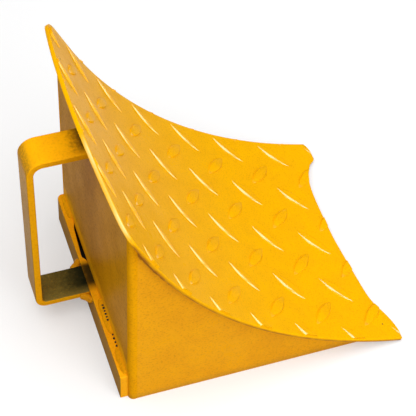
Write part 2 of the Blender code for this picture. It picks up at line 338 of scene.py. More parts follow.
def new_tree(name, kind, inputs, outputs):
    """Node tree with named sockets. An input is given by its value, or by the name of its kind of socket."""
    tree = bpy.data.node_groups.new(name, kind + "NodeTree")
    kinds = {tuple: "Color", int: "Int", float: "Float"}
    for label, value in inputs.items():
        named = isinstance(value, str)
        socket_type = "NodeSocket" + (value if named else kinds[type(value)])
        socket = tree.interface.new_socket(name=label, in_out="INPUT", socket_type=socket_type)
        if not named:
            socket.default_value = value
    for label, socket_kind in outputs.items():
        tree.interface.new_socket(name=label, in_out="OUTPUT", socket_type="NodeSocket" + socket_kind)
    net = NodeNet(tree)
    given = net.add("NodeGroupInput").outputs
    made = net.add("NodeGroupOutput").inputs
    return net, given, made


def mark(net, geometry, name, mask):
    """Stores a mask on the points of some geometry."""
    inputs = {"Geometry": geometry, "Name": name, "Value": mask}
    return net.add("GeometryNodeStoreNamedAttribute", inputs, data_type="FLOAT", domain="POINT")


def hand_over(net, geometry, material, output):
    """Ends a geometry tree: its instances made real and their material set."""
    whole = net.add("GeometryNodeRealizeInstances", {"Geometry": geometry})
    painted = net.add("GeometryNodeSetMaterial", {"Geometry": whole, "Material": material})
    net.feed(output, painted)
    return net.tree


def stepped_curve(net, run, step):
    curve = net.add("GeometryNodeMeshToCurve", {"Mesh": run})
    return net.add("GeometryNodeResampleCurve", {"Curve": curve, "Length": step}, mode="LENGTH")


def carry(net, geometry, name, value):
    """Carries a value from the points of a curve to the mesh made of it, as the node's second output."""
    node = net.add("GeometryNodeCaptureAttribute", {"Geometry": geometry}, domain="POINT")
    node.capture_items.new("FLOAT", name)
    net.feed(node.inputs[1], value)
    return node


def combine(net, operation, *meshes):
    whole = net.add("GeometryNodeMeshBoolean", operation=operation, solver="MANIFOLD")
    for mesh in meshes:
        net.feed(whole.inputs["Mesh 2"], mesh)
    return whole


def settle(piece):
    """Turns a piece with modifiers into a plain mesh."""
    graph = bpy.context.evaluated_depsgraph_get()
    mesh = bpy.data.meshes.new_from_object(piece.evaluated_get(graph))
    piece.modifiers.clear()
    piece.data = mesh
    mesh.name = piece.name
    return piece


def grow(piece, tree, values):
    """Runs a geometry tree on a piece, with its inputs set by their identifiers, and settles the result."""
    modifier = piece.modifiers.new(tree.name, "NODES")
    modifier.node_group = tree
    for socket in tree.interface.items_tree:
        if socket.in_out == "INPUT" and socket.name in values:
            modifier[socket.identifier] = values[socket.name]
    return settle(piece)


def add_piece(name, mesh, material=None):
    piece = bpy.data.objects.new(name, mesh)
    bpy.context.scene.collection.objects.link(piece)
    if material:
        mesh.materials.append(material)
    return piece


def dress(piece, slot, *nodes):
    """Lets a finished piece ride on the chock and stand for its CAD nodes."""
    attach(piece, "root")
    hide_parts(*nodes)


# Shapes of the sheet pieces

def underside_z(x):
    """Height of the plate's underside above the ground."""
    if x >= STRAIGHT_START_X:
        return ARC_Z - math.sqrt(UNDER_RADIUS ** 2 - (ARC_X - x) ** 2)
    start_z = ARC_Z - UNDER_RADIUS * math.cos(TOP_SLOPE)
    return start_z + (STRAIGHT_START_X - x) * math.tan(TOP_SLOPE)


def round_corner(into, radius):
    return radius - math.sqrt(max(radius ** 2 - max(into, 0.0) ** 2, 0.0))


def top_edge(y):
    corner = round_corner(abs(y) - (HALF_PLATE - TOP_CORNER_RADIUS), TOP_CORNER_RADIUS)
    return ARC_LENGTH + STRAIGHT_END + TOP_CROWN * (1 - (y / HALF_PLATE) ** 2) - corner


def toe_edge(y):
    """How far the toe edge is drawn back at the place y, on a smooth line through its outline."""
    places = [TOE_OUTLINE[0], *TOE_OUTLINE, TOE_OUTLINE[-1]]
    for before, start, end, after in zip(places, places[1:], places[2:], places[3:]):
        if y >= end[0] - FUSE and start[0] > end[0]:
            share = min(max((start[0] - y) / (start[0] - end[0]), 0.0), 1.0)
            span = end[0] - start[0]
            leave = (end[1] - before[1]) / (end[0] - before[0]) * span
            reach = (after[1] - start[1]) / (after[0] - start[0]) * span
            bow = leave * (1 - share) - reach * share - (end[1] - start[1]) * (1 - 2 * share)
            return start[1] + (end[1] - start[1]) * share + share * (1 - share) * bow
    return 0.0


def even(count):
    return [step / count for step in range(count + 1)]


def eased(count):
    """Steps from 0 to 1 that lie closer together near both ends."""
    return [EVEN_SHARE * t + (1 - EVEN_SHARE) * (1 - math.cos(math.pi * t)) / 2 for t in even(count)]


def sheet_mesh(name, rows, columns, place):
    """Closed sheet: place(row, column, side) gives a point of its face, side 0, or of its back, side 1."""
    form = bmesh.new()
    sides = [[[form.verts.new(place(r, c, side)) for c in columns] for r in rows] for side in (0, 1)]
    last_row, last_column = len(rows) - 1, len(columns) - 1
    for side, grid in enumerate(sides):
        for i in range(last_row):
            for j in range(last_column):
                ring = [grid[i][j], grid[i + 1][j], grid[i + 1][j + 1], grid[i][j + 1]]
                form.faces.new(ring if side else ring[::-1])
    border = [(i, 0) for i in range(last_row)]
    border += [(last_row, j) for j in range(last_column)]
    border += [(i, last_column) for i in range(last_row, 0, -1)]
    border += [(0, j) for j in range(last_column, 0, -1)]
    for (i, j), (k, m) in zip(border, border[1:] + border[:1]):
        form.faces.new([sides[0][i][j], sides[0][k][m], sides[1][k][m], sides[1][i][j]])
    bmesh.ops.recalc_face_normals(form, faces=form.faces)
    mesh = bpy.data.meshes.new(name)
    form.to_mesh(mesh)
    form.free()
    return mesh


def add_bevel(piece, width):
    bevel = piece.modifiers.new("Rounded edges", "BEVEL")
    bevel.width = width
    bevel.segments = 3
    bevel.limit_method = "ANGLE"
    return bevel


def round_edges(piece, width):
    """Rounds the sharp edges of a piece and keeps its flat faces flat in the shading."""
    bevel = add_bevel(piece, width)
    bevel.angle_limit = SHARP_ANGLE
    bevel.miter_outer = "MITER_ARC"
    settle(piece)
    piece.data.shade_smooth()
    normals = piece.modifiers.new("Flat faces", "WEIGHTED_NORMAL")
    normals.keep_sharp = True
    return settle(piece)


# Geometry trees

def near_flank(net, place):
    """Mask over one long flank of a lozenge, fading at its two tips."""
    flank = net.ramp(place["Y"], *FLANK_POLISH)
    return net.times(flank, net.fade(net.math("ABSOLUTE", place["X"]), *FLANK_POLISH_ENDS))


def near_tip(net, place):
    """Mask over one tip of a lozenge."""
    return net.ramp(place["X"], *TIP_POLISH, 0.0, TIP_POLISH_STRENGTH)


def lozenge_shape(net, given, polished_part):
    """Lens-shaped lozenge, lying along X with its foot sunk a little below the plate's face."""
    block = net.add("GeometryNodeMeshCube", {
        "Size": (2, 2, 2), "Vertices X": LOZENGE_STEPS, "Vertices Y": LOZENGE_STEPS, "Vertices Z": 2})
    place = net.position()
    fullness = net.minus(1.0, net.times(place["X"], place["X"]))
    outward = net.math("ABSOLUTE", place["Y"])
    past_crest = net.math("MAXIMUM", net.minus(outward, given["Lozenge Crest"]), 0.0)
    flank = net.over(past_crest, net.minus(1.0, given["Lozenge Crest"]))
    crown = net.minus(1.0, net.math("POWER", flank, 2.0))
    ends = net.math("POWER", net.math("MAXIMUM", fullness, 0.0), LOZENGE_END_FULLNESS)
    on_top = net.math("GREATER_THAN", place["Z"], 0.0)
    height = net.times(ends, crown, given["Lozenge Height"], on_top)
    sink = net.times(net.minus(1.0, on_top), given["Lozenge Sink"])
    lens = net.vector(
        net.times(place["X"], given["Lozenge Length"], 0.5),
        net.times(place["Y"], fullness, given["Lozenge Width"], 0.5),
        net.minus(height, sink))
    polished = mark(net, block, "polish", polished_part(net, place))
    shaped = net.add("GeometryNodeSetPosition", {"Geometry": polished, "Position": lens})
    return net.add("GeometryNodeMergeByDistance", {"Geometry": shaped, "Distance": LOZENGE_MERGE})


def lozenge_lattice(net, given, lozenge, shift, turn):
    """Lozenges on a lattice that starts at the first row and column, shifted by a share of the pitch."""
    rows = net.minus(given["Rows"], 1.0)
    columns = net.minus(given["Columns"], 1.0)
    points = net.add("GeometryNodeMeshGrid", {
        "Size X": net.times(rows, given["Row Pitch"]),
        "Size Y": net.times(columns, given["Column Pitch"]),
        "Vertices X": given["Rows"],
        "Vertices Y": given["Columns"],
    })
    reach = net.plus(net.times(rows, 0.5), shift)
    width = net.plus(net.times(columns, 0.5), shift)
    start = net.vector(
        net.math("MULTIPLY_ADD", reach, given["Row Pitch"], given["First Row"]),
        net.math("MULTIPLY_ADD", width, given["Column Pitch"], given["First Column"]))
    lattice = net.add("GeometryNodeTransform", {"Geometry": points, "Translation": start})
    lozenges = net.add("GeometryNodeInstanceOnPoints", {
        "Points": lattice, "Instance": lozenge, "Rotation": (0.0, 0.0, turn)})
    return net.add("GeometryNodeRealizeInstances", {"Geometry": lozenges})


def bend_to_arc(net, given, flat):
    """Rolls flat geometry, x along the plate from the toe, onto the arc and its straight end."""
    place = net.position()
    on_arc = net.math("MINIMUM", place["X"], given["Arc Length"])
    straight = net.math("MAXIMUM", net.minus(place["X"], given["Arc Length"]), 0.0)
    angle = net.plus(net.over(on_arc, given["Face Radius"]), given["Toe Slope"])
    radius = net.minus(given["Face Radius"], place["Z"])
    sine, cosine = net.math("SINE", angle), net.math("COSINE", angle)
    back = net.plus(net.times(radius, sine), net.times(straight, cosine))
    down = net.minus(net.times(radius, cosine), net.times(straight, sine))
    rolled = net.vector(net.minus(given["Arc X"], back), place["Y"], net.minus(given["Arc Z"], down))
    return net.add("GeometryNodeSetPosition", {"Geometry": flat, "Position": rolled})


def tread_plate_tree():
    """Raises two crossing lattices of lozenges on a flat plate, trims them and rolls it to the arc."""
    net, given, made = new_tree("Tread plate", "Geometry", {
        "Flat Plate": "Geometry", "Lozenge Length": LOZENGE_LENGTH, "Lozenge Width": LOZENGE_WIDTH,
        "Lozenge Height": LOZENGE_HEIGHT, "Lozenge Sink": LOZENGE_SINK,
        "Lozenge Crest": LOZENGE_CREST, "Row Pitch": ROW_PITCH, "Column Pitch": COLUMN_PITCH,
        "First Row": FIRST_ROW, "First Column": FIRST_COLUMN, "Rows": LOZENGE_ROWS,
        "Columns": LOZENGE_COLUMNS, "Face Radius": FACE_RADIUS, "Toe Slope": TOE_SLOPE,
        "Arc Length": ARC_LENGTH, "Arc X": ARC_X, "Arc Z": ARC_Z,
        "Edge Margin": LOZENGE_EDGE_MARGIN, "Rub End": RIM_HIGHLIGHT_END_Y, "Paint": "Material",
    }, {"Plate": "Geometry"})
    flat = given["Flat Plate"]
    lozenges = net.add("GeometryNodeJoinGeometry")
    for polished_part, shift, turn in ((near_flank, 0.0, math.pi / 4), (near_tip, 0.5, -math.pi / 4)):
        lozenge = lozenge_shape(net, given, polished_part)
        net.feed(lozenges.inputs[0], lozenge_lattice(net, given, lozenge, shift, turn))
    place = net.position()
    along, height = place["X"], place["Z"]
    upper = net.add("FunctionNodeCompare", {0: height, 1: -PLATE_THICKNESS / 2}, operation="GREATER_THAN")
    raised = net.add("GeometryNodeSetPosition", {
        "Geometry": flat, "Selection": upper, "Offset": net.vector(z=PLATE_THICKNESS)})
    trimmer = net.add("GeometryNodeTransform", {
        "Geometry": raised,
        "Translation": net.vector(net.times(net.minus(1.0, given["Edge Margin"]), ARC_LENGTH / 2)),
        "Scale": net.vector(given["Edge Margin"], given["Edge Margin"], 1.0),
    })
    union = combine(net, "UNION", flat, combine(net, "INTERSECT", lozenges, trimmer))
    polish = net.add("GeometryNodeInputNamedAttribute", {"Name": "polish"}, data_type="FLOAT")
    flanks = net.times(net.ramp(height, *POLISH_START), polish)
    # Mask of the painted highlight on the plate's upper near rim
    rim_side = net.times(net.fade(height, *RIM_HIGHLIGHT_TOP), net.ramp(height, *RIM_HIGHLIGHT_FOOT))
    top_end = net.ramp(along, given["Arc Length"], net.plus(given["Arc Length"], RIM_HIGHLIGHT_RISE))
    near_half = net.fade(place["Y"], net.minus(given["Rub End"], RIM_HIGHLIGHT_FADE), given["Rub End"])
    off_corner = net.ramp(place["Y"], *(step - HALF_PLATE for step in RIM_HIGHLIGHT_CORNER))
    rim_highlight = net.times(rim_side, top_end, near_half, off_corner)
    # Mask of the painted shade on the plate's side edge faces
    sideways = net.math("ABSOLUTE", place["Y"])
    outermost = net.ramp(sideways, *(HALF_PLATE - step for step in EDGE_SHADE_REACH))
    side_edges = net.times(outermost, net.fade(height, *EDGE_SHADE_DEPTH))
    for name, mask in (("lozenge", flanks), ("rim", rim_highlight), ("edge", side_edges)):
        union = mark(net, union, name, mask)
    rolled = bend_to_arc(net, given, union)
    smooth = net.add("GeometryNodeSetShadeSmooth", {"Geometry": rolled})
    return hand_over(net, smooth, given["Paint"], made["Plate"])


def weld_bead_tree():
    """Rippled bead along the edges of a run: crescents that lap over one another, with an uneven width."""
    net, given, made = new_tree("Weld bead", "Geometry", {
        "Run": "Geometry", "Bead Size": BEAD_SIZE, "Ripple Pitch": BEAD_RIPPLE_PITCH,
        "Ripple Depth": BEAD_RIPPLE_DEPTH, "Step": BEAD_STEP, "Unevenness": BEAD_UNEVENNESS,
        "Seed": 1.0, "Paint": "Material",
    }, {"Bead": "Geometry"})
    spline = net.add("GeometryNodeSplineParameter").outputs
    travel = carry(net, stepped_curve(net, given["Run"], given["Step"]), "Travel", spline["Length"])
    circle = net.add("GeometryNodeCurvePrimitiveCircle", {"Resolution": 16, "Radius": 1.0})
    around = carry(net, circle, "Around", net.add("GeometryNodeSplineParameter").outputs["Factor"])
    ends = net.math("SINE", net.times(spline["Factor"], math.pi))
    round_ends = net.math("POWER", net.math("MAXIMUM", ends, 0.0), BEAD_END_FULLNESS)
    drift = net.add("ShaderNodeTexNoise", {
        "W": net.plus(net.times(spline["Length"], BEAD_DRIFT), given["Seed"]), "Scale": 1.0,
    }, noise_dimensions="1D")
    width = net.math("MULTIPLY_ADD", net.minus(drift, 0.5), given["Unevenness"], BEAD_FULLNESS)
    size = net.times(width, round_ends, given["Bead Size"])
    tube = net.add("GeometryNodeCurveToMesh", {
        "Curve": travel, "Profile Curve": around, "Scale": size, "Fill Caps": True})
    bow = net.math("COSINE", net.times(around.outputs[1], 4 * math.pi))
    phase = net.over(travel.outputs[1], given["Ripple Pitch"])
    crescent = net.math("MULTIPLY_ADD", bow, CRESCENT_BOW, phase)
    lap = net.math("POWER", net.math("FRACT", crescent), LAP_SHARPNESS)
    ripple = net.times(net.minus(lap, 0.5), given["Ripple Depth"])
    outward = net.add("ShaderNodeVectorMath", {
        0: net.add("GeometryNodeInputNormal"), "Scale": ripple}, operation="SCALE")
    rippled = net.add("GeometryNodeSetPosition", {"Geometry": tube, "Offset": outward})
    smooth = net.add("GeometryNodeSetShadeSmooth", {"Geometry": rippled})
    return hand_over(net, smooth, given["Paint"], made["Bead"])


# Finishes

def enamel_film_group():
    """Brushed enamel: patches where the film is thinner, a fine grain and its uneven gloss."""
    net, given, made = new_tree("Enamel film", "Shader", {
        "Paint": YELLOW, "Thin Paint": THIN_YELLOW, "Patch Scale": 28.0, "Grain Scale": 700.0,
        "Grain Strength": 0.1, "Gloss Roughness": 0.24, "Dull Roughness": 0.40,
    }, {"Color": "Color", "Roughness": "Float", "Height": "Float"})
    patches = net.noise(given["Patch Scale"], detail=5.0, roughness=0.6)
    grain = net.noise(given["Grain Scale"], detail=2.0)
    film = net.mix(net.ramp(patches, *PATCH_EDGE), given["Paint"], given["Thin Paint"])
    shade = net.times(net.ramp(grain, *GRAIN_EDGE), given["Grain Strength"])
    dark = net.mix(1.0, film, GRAIN_SHADE, "MULTIPLY")
    net.feed(made["Color"], net.mix(shade, film, dark))
    least, most = GLOSS_EDGE
    net.feed(made["Roughness"], net.add("ShaderNodeMapRange", {
        "Value": net.weigh(GRAIN_IN_GLOSS, patches, grain), "From Min": least, "From Max": most,
        "To Min": given["Gloss Roughness"], "To Max": given["Dull Roughness"]}))
    net.feed(made["Height"], net.weigh(GRAIN_IN_RELIEF, patches, grain))
    return net.tree


def rust_speck_group():
    """Small rust specks that show through the paint here and there."""
    net, given, made = new_tree("Rust specks", "Shader", {
        "Color": YELLOW, "Roughness": 0.3, "Speck Scale": 60.0, "Speck Size": 0.07,
        "Speck Share": 0.25,
    }, {"Color": "Color", "Roughness": "Float", "Height": "Float"})
    cells = net.add("ShaderNodeTexVoronoi", {"Vector": net.surface_point(), "Scale": given["Speck Scale"]})
    chance = net.add("ShaderNodeSeparateColor", {0: cells.outputs["Color"]}).outputs
    chosen = net.math("LESS_THAN", chance[0], given["Speck Share"])
    reach = net.times(given["Speck Size"], net.plus(chance[1], SPECK_LEAST))
    mask = net.times(net.fade(net.over(cells.outputs["Distance"], reach), *SPECK_EDGE), chosen)
    net.feed(made["Color"], net.mix(mask, given["Color"], RUST_SPECK))
    net.feed(made["Roughness"], net.math("MULTIPLY_ADD", mask, RUST_DULLING, given["Roughness"]))
    net.feed(made["Height"], net.times(mask, -1.0))
    return net.tree


def ground_grime_and_shade_group():
    """Dull soiling that climbs from the ground with a ragged edge, and can keep to some faces only; on the
    bar and the handle it is used as painted shade.
    """
    net, given, made = new_tree("Ground grime", "Shader", {
        "Color": YELLOW, "Roughness": 0.3, "Grime Height": 0.012, "Grime Strength": 0.5,
        "Off Upright": 0.0, "Front And Rear Only": 0.0, "Grime Color": (*GROUND_DIRT, 1.0),
    }, {"Color": "Color", "Roughness": "Float"})
    ragged = net.noise(scale=800.0, detail=4.0)
    line = net.times(given["Grime Height"], ragged, 2.0)
    mask = net.fade(net.over(net.surface_place()["Z"], line), *GRIME_AND_SHADE_EDGE)
    facing = net.facing()
    upright = net.fade(facing["Z"], *FACING_EDGE)
    aside = net.fade(net.math("ABSOLUTE", facing["X"]), *FACING_EDGE)
    clean = net.plus(
        net.times(given["Off Upright"], upright), net.times(given["Front And Rear Only"], aside))
    share = net.times(mask, net.minus(1.0, clean), given["Grime Strength"])
    net.feed(made["Color"], net.mix(share, given["Color"], given["Grime Color"]))
    net.feed(made["Roughness"], net.math("MULTIPLY_ADD", share, GRIME_AND_SHADE_DULLING, given["Roughness"]))
    return net.tree


def painted_overhang_shadow_group():
    """Thin ragged painted shadow on a cheek, close under the tread plate's overhang."""
    net, given, made = new_tree("Seam line", "Shader", {
        "Color": YELLOW, "Line Color": (0.22, 0.06, 0.008, 1.0), "Line Width": 0.0046,
        "Line Strength": 0.7,
    }, {"Color": "Color"})
    place = net.surface_place()
    across = net.minus(place["X"], ARC_X)
    below = net.minus(place["Z"], ARC_Z)
    squares = net.math("MULTIPLY_ADD", across, across, net.times(below, below))
    depth = net.minus(net.math("SQRT", squares), UNDER_RADIUS)
    ragged = net.noise(scale=260.0, detail=4.0)
    line = net.times(given["Line Width"], net.math("MULTIPLY_ADD", ragged, 0.5, 0.75))
    share = net.times(net.fade(net.over(depth, line), *OVERHANG_SHADOW_EDGE), given["Line Strength"])
    net.feed(made["Color"], net.mix(share, given["Color"], given["Line Color"]))
    return net.tree


def painted_corner_shade_group():
    """Painted shade on upward faces by the handle's ends, darkest against the rear panel."""
    net, given, made = new_tree("Weld soot", "Shader", {
        "Color": YELLOW, "Soot Color": (0.003, 0.008, 0.005, 1.0), "Soot Reach": 0.015,
        "Soot Strength": 0.62,
    }, {"Color": "Color"})
    place = net.surface_place()
    away = net.minus(REAR_X, place["X"])
    ragged = net.noise(scale=420.0, detail=5.0)
    low_down = net.ramp(place["Z"], bar_high.z, handle_high.z, 1.0, UPPER_LEG_SHADE)
    reach = net.times(given["Soot Reach"], low_down, net.plus(ragged, 0.5))
    mask = net.fade(net.over(away, reach), *CORNER_SHADE_EDGE)
    upward = net.ramp(net.facing()["Z"], *CORNER_SHADE_FACING_EDGE)
    past_near = net.ramp(place["Y"], *(handle_low.y + step for step in CORNER_SHADE_NEAR_FADE))
    before_far = net.fade(place["Y"], *(handle_high.y + step for step in CORNER_SHADE_FAR_FADE))
    share = net.times(past_near, before_far, mask, upward, given["Soot Strength"])
    net.feed(made["Color"], net.mix(share, given["Color"], given["Soot Color"]))
    return net.tree


def painted_reflection_band_group():
    """Painted reflection of the ground bar: brighter paint on the rear panel just above the bar, and painted
    shade behind it.
    """
    net, given, made = new_tree("Foot band", "Shader", {
        "Color": YELLOW, "Band Color": (0.98, 0.46, 0.008, 1.0), "Band Height": 0.017,
        "Band Strength": 0.85, "Gap Color": (0.010, 0.009, 0.006, 1.0),
    }, {"Color": "Color"})
    above = net.minus(net.surface_place()["Z"], bar_high.z)
    ragged = net.noise(scale=90.0, detail=3.0)
    reach = net.times(given["Band Height"], net.ramp(ragged, 0.3, 0.7, 0.85, 1.15))
    band = net.fade(net.over(above, reach), *REFLECTION_BAND_EDGE)
    gap = net.fade(above, *GAP_SHADE_DEPTH)
    rearward = net.fade(net.facing()["X"], *REARWARD_EDGE)
    bright = net.times(band, given["Band Strength"], rearward)
    banded = net.mix(bright, given["Color"], given["Band Color"])
    net.feed(made["Color"], net.mix(net.times(gap, rearward), banded, given["Gap Color"]))
    return net.tree


FILM = enamel_film_group()
SPECKS = rust_speck_group()
GRIME_AND_SHADE = ground_grime_and_shade_group()
CORNER_SHADE = painted_corner_shade_group()


def paint_nodes(material):
    """Net of a material's nodes, and the inputs of its shader."""
    return NodeNet(material.node_tree), material.node_tree.nodes["Principled BSDF"].inputs


def new_material(name):
    material = bpy.data.materials.new(name)
    material.use_nodes = True
    return material, *paint_nodes(material)


def add_effect(net, group, values):
    effect = net.add("ShaderNodeGroup", node_tree=group)
    for label, value in values.items():
        effect.inputs[label].default_value = value
    return effect


def enamel(name, film, specks, grime_and_shade, bump, shine):
    """Painted steel: enamel film, rust specks and ground soiling, which on the bar and the handle is painted
    shade, each with this piece's own values.
    """
    material, net, shader = new_material(name)
    shader["Specular IOR Level"].default_value = shine
    coat = add_effect(net, FILM, film)
    rust = add_effect(net, SPECKS, specks)
    dirt_and_shade = add_effect(net, GRIME_AND_SHADE, grime_and_shade)
    for first, second in ((coat, rust), (rust, dirt_and_shade)):
        for label in ("Color", "Roughness"):
            net.feed(second.inputs[label], first.outputs[label])
    net.feed(shader["Base Color"], dirt_and_shade.outputs["Color"])
    net.feed(shader["Roughness"], dirt_and_shade.outputs["Roughness"])
    height = net.plus(coat.outputs["Height"], rust.outputs["Height"])
    relief = net.add("ShaderNodeBump", {"Height": height, "Strength": bump, "Distance": PAINT_RELIEF})
    net.feed(shader["Normal"], relief)
    return material


def tint(material, group, values):
    """Lays one more shared effect over a paint's colour, with values of its own."""
    net, shader = paint_nodes(material)
    base = shader["Base Color"]
    effect = add_effect(net, group, values)
    net.feed(effect.inputs["Color"], base.links[0].from_socket)
    net.feed(base, effect.outputs["Color"])


def plate_mask(net, name):
    return net.add("ShaderNodeAttribute", attribute_name=name, attribute_type="GEOMETRY").outputs["Fac"]


def polish_lozenges(material):
    """Wheels have polished the lozenges: a clear gloss on the marked flank or tip of each."""
    net, shader = paint_nodes(material)
    net.feed(shader["Coat Weight"], plate_mask(net, "lozenge"))
    shader["Coat Roughness"].default_value = POLISH_ROUGHNESS
    shader["Coat IOR"].default_value = POLISH_IOR


def painted_light_patches(material, name, scale, detail, patches, color):
    """Patches of another colour where the plate is marked: painted highlight on its upper rim, painted shade
    on its side edges.
    """
    net, shader = paint_nodes(material)
    base = shader["Base Color"]
    places = net.ramp(net.noise(scale, detail), *patches)
    painted_light = net.times(plate_mask(net, name), places)
    net.feed(base, net.mix(painted_light, base.links[0].from_socket, color))


def pinhole_rust():
    """Near-black painted shade of the pinholes' hollows in the seam, mixed with rust brown."""
    material, net, shader = new_material("pinhole_rust")
    grain = net.noise(scale=1500.0, detail=3.0)
    net.feed(shader["Base Color"], net.mix(grain, PINHOLE_DARK, PINHOLE_BROWN))
    net.feed(shader["Roughness"], net.ramp(grain, 0.0, 1.0, 0.6, 0.9))
    return material


def paint_values(paint, thin, patch, grain, strength, gloss=0.24, dull=0.40):
    return {"Paint": (*paint, 1.0), "Thin Paint": (*thin, 1.0), "Patch Scale": patch, "Grain Scale": grain,
            "Grain Strength": strength, "Gloss Roughness": gloss, "Dull Roughness": dull}


def speck_values(scale, size, share):
    return {"Speck Scale": scale, "Speck Size": size, "Speck Share": share}


def grime_and_shade_values(height, strength, off_upright=0.0, front_and_rear=0.0, color=GROUND_DIRT):
    return {"Grime Height": height, "Grime Strength": strength, "Off Upright": off_upright,
            "Front And Rear Only": front_and_rear, "Grime Color": (*color, 1.0)}


def cheek_enamel(name, shine, gloss, dull):
    """Paint of the cheeks and, duller, of the weld seams beside them."""
    return enamel(
        name, paint_values((0.88, 0.385, 0.003), (0.83, 0.35, 0.004), 60.0, 650.0, 0.45, gloss, dull),
        speck_values(scale=45.0, size=0.04, share=0.06),
        grime_and_shade_values(height=0.008, strength=0.25), bump=0.12, shine=shine)


TREAD_ENAMEL = enamel(
    "tread_enamel",
    paint_values((0.92, 0.450, 0.001), (0.88, 0.420, 0.002), patch=60.0, grain=900.0, strength=0.4),
    speck_values(scale=70.0, size=0.045, share=0.12),
    grime_and_shade_values(height=0.006, strength=0.2), bump=0.12, shine=0.015)
polish_lozenges(TREAD_ENAMEL)
# Painted highlight on the plate's upper near rim, and painted shade on its side edges
painted_light_patches(TREAD_ENAMEL, "rim", scale=28.0, detail=2.0, patches=(0.36, 0.54, 0.3, 0.85), color=PAINTED_RIM_HIGHLIGHT)
painted_light_patches(TREAD_ENAMEL, "edge", scale=90.0, detail=3.0, patches=(0.35, 0.60, 0.55, 0.9), color=EDGE_SHADE)
CHEEK_ENAMEL = cheek_enamel("cheek_enamel", shine=0.03, gloss=0.24, dull=0.40)
# Painted shadow of the tread plate's overhang along the top of each cheek
tint(CHEEK_ENAMEL, painted_overhang_shadow_group(), {})
# Darker copy of the yellow enamel for the rear panel: painted shade
SHADED_REAR_ENAMEL = enamel(
    "rear_enamel",
    paint_values((0.66, 0.29, 0.004), (0.57, 0.24, 0.005), 40.0, 600.0, 0.7, gloss=0.30, dull=0.42),
    speck_values(scale=60.0, size=0.04, share=0.10),
    grime_and_shade_values(height=0.012, strength=0.3), bump=0.06, shine=0.004)
# Painted reflection band at the rear panel's foot, with painted shade behind the ground bar
tint(SHADED_REAR_ENAMEL, painted_reflection_band_group(), {})
# The bar's paint is brighter than the rest as painted light on its shaded top, with brown painted shade on
# its faces turned front and rear
BRIGHTENED_BAR_ENAMEL = enamel(
    "bar_enamel",
    paint_values((0.99, 0.45, 0.005), (0.95, 0.40, 0.006), patch=60.0, grain=650.0, strength=0.3),
    speck_values(scale=90.0, size=0.07, share=0.18),
    grime_and_shade_values(height=0.07, strength=0.7, front_and_rear=1.0, color=BROWN_SHADE), bump=0.15, shine=0.02)
# Painted shade on the bar's top by the handle's lower end
tint(BRIGHTENED_BAR_ENAMEL, CORNER_SHADE, {"Soot Reach": 0.020, "Soot Strength": 0.95})
# Green-grey painted shade on the handle's low upward faces, brown painted shade on its faces turned front
# and rear, and painted shade by its ends
HANDLE_ENAMEL = enamel(
    "handle_enamel",
    paint_values((0.92, 0.43, 0.003), (0.88, 0.39, 0.004), patch=45.0, grain=650.0, strength=0.3),
    speck_values(scale=70.0, size=0.06, share=0.12),
    grime_and_shade_values(height=0.09, strength=0.85, off_upright=1.0, color=GREEN_GREY_SHADE), bump=0.12, shine=0.008)
tint(HANDLE_ENAMEL, GRIME_AND_SHADE, grime_and_shade_values(height=0.30, strength=0.58, front_and_rear=1.0, color=BROWN_SHADE))
tint(HANDLE_ENAMEL, CORNER_SHADE, {"Soot Reach": 0.040, "Soot Strength": 0.97})
SEAM_ENAMEL = cheek_enamel("seam_enamel", shine=0.0, gloss=0.55, dull=0.70)
# Painted shade on the weld beads under the handle
tint(SEAM_ENAMEL, CORNER_SHADE, {"Soot Strength": 0.85})
WELD_ENAMEL = enamel(
    "weld_enamel",
    paint_values((0.82, 0.36, 0.006), (0.68, 0.28, 0.008), patch=120.0, grain=900.0, strength=0.25),
    speck_values(scale=160.0, size=0.10, share=0.15),
    grime_and_shade_values(height=0.006, strength=0.3), bump=0.2, shine=0.03)
INNER_ENAMEL = enamel(
    "inner_enamel",
    paint_values((0.62, 0.28, 0.010), (0.46, 0.20, 0.012), 35.0, 500.0, 0.4, gloss=0.4, dull=0.6),
    speck_values(scale=60.0, size=0.08, share=0.25),
    grime_and_shade_values(height=0.02, strength=0.5), bump=0.2, shine=0.5)
PINHOLE_SHADE_AND_RUST = pinhole_rust()


# Pieces

def build_tread_plate():
    def place(row, column, side):
        y = HALF_PLATE * (2 * column - 1)
        along = toe_edge(y) + row * (top_edge(y) - toe_edge(y))
        return along, y, -PLATE_THICKNESS * side
    plate = add_piece("curved_tread_plate", sheet_mesh("flat_plate", even(110), even(130), place))
    add_bevel(plate, PLATE_EDGE_ROUNDING)
    settle(plate)
    grow(plate, tread_plate_tree(), {"Paint": TREAD_ENAMEL})
    plate.data.set_sharp_from_angle(angle=LOZENGE_SHARP_ANGLE)
    dress(plate, "tread_paint", "tread_plate")


def build_sheet(name, node, rows, columns, place, paint, rounding=SHEET_EDGE_ROUNDING, slot="body_paint"):
    """Sheet piece with rounded edges, finished in place of one CAD node."""
    piece = add_piece(name, sheet_mesh(name, rows, columns, place), paint)
    dress(round_edges(piece, rounding), slot, node)


def build_cheek(name, side):
    node = "side_panel_" + name
    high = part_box(node)[1]
    rear_x = REAR_X + PANEL_THICKNESS

    def place(row, column, face):
        x = rear_x + column * (high.x - rear_x)
        y = side * (BODY_HALF - face * PANEL_THICKNESS)
        return x, y, row * (underside_z(x) + FUSE)
    build_sheet("cheek_" + name, node, eased(14), eased(50), place, CHEEK_ENAMEL)


def build_rear_panel():
    def place(row, column, face):
        y = PANEL_INNER_Y * (2 * column - 1)
        x = REAR_X + face * PANEL_THICKNESS
        return x, y, row * (underside_z(x) + FUSE)
    build_sheet("upright_rear_panel", "rear_panel", eased(24), eased(24), place, SHADED_REAR_ENAMEL)


